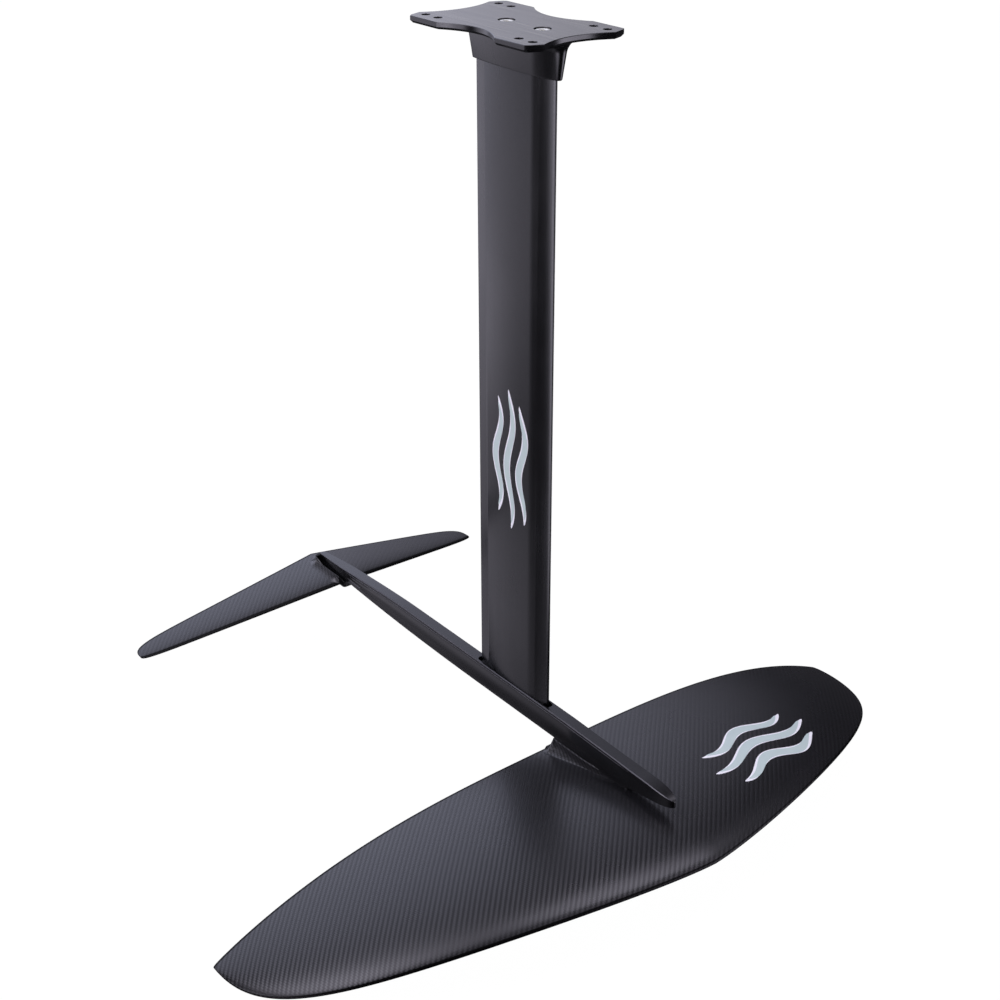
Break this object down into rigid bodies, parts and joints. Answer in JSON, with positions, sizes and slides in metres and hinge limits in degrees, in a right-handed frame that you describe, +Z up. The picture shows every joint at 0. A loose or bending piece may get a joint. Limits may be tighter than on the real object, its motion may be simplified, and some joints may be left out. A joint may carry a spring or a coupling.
{
  "type": "hydrofoil mast wing",
  "caption": "Wing-foil hydrofoil: board plate with collar, upright hollow mast, bar fuselage, wide drooping front wing and small swept stabilizer, bolted together.",
  "frame": {"origin": "centre of the board plate's upper face, which is the centre of both bolt patterns", "axes": "+X forward towards the front wing, +Y to port, +Z up into the board; the foil hangs below Z = 0"},
  "size_m": [0.8022, 0.901, 0.8784],
  "materials": {
    "anodised_aluminium": "satin black anodised, fine grain along the extrusion",
    "carbon_twill": "satin clear coat over carbon twill, its ribs running fore and aft at 45 degrees to the tows",
    "stainless_steel": "turned stainless steel",
    "foam_core": "closed-cell structural foam, hidden inside",
    "glass_laminate": "solid glass laminate, hidden inside"
  },
  "bodies": {
    "root": {"top_plate": "anodised_aluminium", "plate_screws": "stainless_steel", "mast": "anodised_aluminium", "mast_head_inserts": "stainless_steel", "mast_foot_inserts": "stainless_steel", "mast_foot_screws": "stainless_steel", "fuselage": "anodised_aluminium", "fuselage_wing_inserts": "stainless_steel", "fuselage_tail_inserts": "stainless_steel", "front_wing_upper_skin": "carbon_twill", "front_wing_lower_skin": "carbon_twill", "front_wing_core": "foam_core", "front_wing_root_block": "glass_laminate", "front_wing_seat": "carbon_twill", "front_wing_screw_cups": "stainless_steel", "front_wing_screws": "stainless_steel", "stabilizer_upper_skin": "carbon_twill", "stabilizer_lower_skin": "carbon_twill", "stabilizer_core": "foam_core", "stabilizer_root_block": "glass_laminate", "stabilizer_seat": "carbon_twill", "stabilizer_screw_cups": "stainless_steel", "stabilizer_screws": "stainless_steel"}
  },
  "joints": []
}
